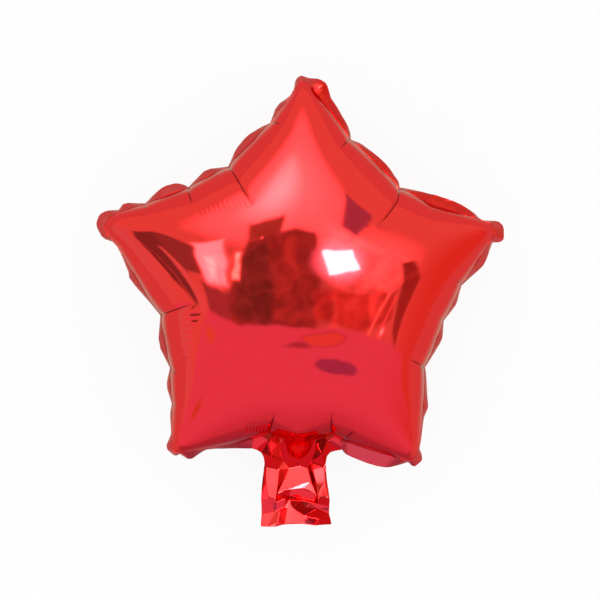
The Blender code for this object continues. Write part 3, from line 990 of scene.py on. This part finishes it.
def room_direction():
    """Directions as degrees away from straight up: to the right, towards the top point, and 1.

    They wobble a little, as lines do in a foil that isn't quite smooth.
    """
    coordinates = room.nodes.new("ShaderNodeTexCoord")
    parts = room.nodes.new("ShaderNodeSeparateXYZ")
    room.links.new(coordinates.outputs["Generated"], parts.inputs[0])
    x, y, z = parts.outputs
    level = room_math("MAXIMUM", room_length(x, y), NEARLY_UP)
    tilt = room_math("MULTIPLY", room_math("ARCTAN2", level, z), math.degrees(1))
    scale = room_math("DIVIDE", tilt, level)
    joined = room.nodes.new("ShaderNodeCombineXYZ")
    room.links.new(room_math("MULTIPLY", x, scale), joined.inputs[0])
    room.links.new(room_math("MULTIPLY", y, scale), joined.inputs[1])
    joined.inputs[2].default_value = 1
    wobble = room.nodes.new("ShaderNodeTexNoise")
    room.links.new(coordinates.outputs["Generated"], wobble.inputs["Vector"])
    wobble.inputs["Scale"].default_value = WOBBLE_SCALE
    wobble.inputs["Detail"].default_value = NOISE_DETAIL
    off = room.nodes.new("ShaderNodeVectorMath")
    off.operation = "SUBTRACT"
    room.links.new(wobble.outputs["Color"], off.inputs[0])
    off.inputs[1].default_value = (0.5, 0.5, 0.5)
    moved = room.nodes.new("ShaderNodeVectorMath")
    moved.operation = "MULTIPLY_ADD"
    room.links.new(off.outputs[0], moved.inputs[0])
    moved.inputs[1].default_value = (WOBBLE, WOBBLE, 0)
    room.links.new(joined.outputs[0], moved.inputs[2])
    return moved.outputs[0]


def room_glow(direction, under, centre, half_sizes, soft, light):
    """Paints an oval of light over what is under it."""
    across = room_dot(direction, (1 / half_sizes[0], 0, -centre[0] / half_sizes[0]))
    up = room_dot(direction, (0, 1 / half_sizes[1], -centre[1] / half_sizes[1]))
    return room_paint(under, room_ramp(room_length(across, up), 1, 1 - soft), light)


def room_panel(direction, under, corners, soft, light):
    """Paints a panel with straight sides and no corner that points inwards over what is under it."""
    corners = np.array(corners, float)
    middle = corners.mean(axis=0)
    within = None
    for corner, following in zip(corners, np.roll(corners, -1, axis=0)):
        run = following - corner
        normal = np.array((-run[1], run[0])) / np.linalg.norm(run)
        if normal @ (middle - corner) < 0:
            normal = -normal
        edge = room_dot(direction, (*normal, -normal @ corner))
        within = edge if within is None else room_math("MINIMUM", within, edge)
    return room_paint(under, room_ramp(within, -soft, soft), light)


direction = room_direction()
plain = room.nodes.new("ShaderNodeRGB")
plain.outputs[0].default_value = (*WALL, 1)
picture = plain.outputs[0]
for glow in GLOWS:
    picture = room_glow(direction, picture, *glow)
for panel in PANELS:
    picture = room_panel(direction, picture, *panel)
mottle = room.nodes.new("ShaderNodeTexNoise")
mottle.inputs["Scale"].default_value = MOTTLE_SCALE / 180
mottle.inputs["Detail"].default_value = NOISE_DETAIL
mottle.inputs["Distortion"].default_value = MOTTLE_SWIRL
room.links.new(direction, mottle.inputs["Vector"])
mottled = room.nodes.new("ShaderNodeMapRange")
mottled.inputs["To Min"].default_value, mottled.inputs["To Max"].default_value = MOTTLE_LEVELS
uneven = room.nodes.new("ShaderNodeVectorMath")
uneven.operation = "SCALE"
room.links.new(picture, uneven.inputs[0])
room.links.new(room_ramp(mottle.outputs["Fac"], *MOTTLE_CLOUDS), mottled.inputs["Value"])
room.links.new(mottled.outputs["Result"], uneven.inputs["Scale"])
picture = room_glow(direction, picture, *MOTTLED, uneven.outputs[0])
picture = room_glow(direction, picture, *LAMP_GLOW)
picture = room_panel(direction, picture, *LAMP)
picture = room_panel(direction, picture, *FLOOR_FAR)
for glow in FLOOR_GLOWS:
    picture = room_glow(direction, picture, *glow)

seen = room.nodes.new("ShaderNodeLightPath")
mirrored = room.nodes.new("ShaderNodeMix")
mirrored.data_type = "RGBA"
room.links.new(seen.outputs["Is Glossy Ray"], mirrored.inputs["Factor"])
mirrored.inputs["A"].default_value = (*MATT_LIGHT, 1)
room.links.new(picture, mirrored.inputs["B"])
lit = room.nodes.new("ShaderNodeBackground")
room.links.new(mirrored.outputs["Result"], lit.inputs["Color"])
white = room.nodes.new("ShaderNodeBackground")
white.inputs["Color"].default_value = (1, 1, 1, 1)
mixed = room.nodes.new("ShaderNodeMixShader")
room.links.new(seen.outputs["Is Camera Ray"], mixed.inputs["Fac"])
room.links.new(lit.outputs[0], mixed.inputs[1])
room.links.new(white.outputs[0], mixed.inputs[2])
output = room.nodes.new("ShaderNodeOutputWorld")
room.links.new(mixed.outputs[0], output.inputs["Surface"])
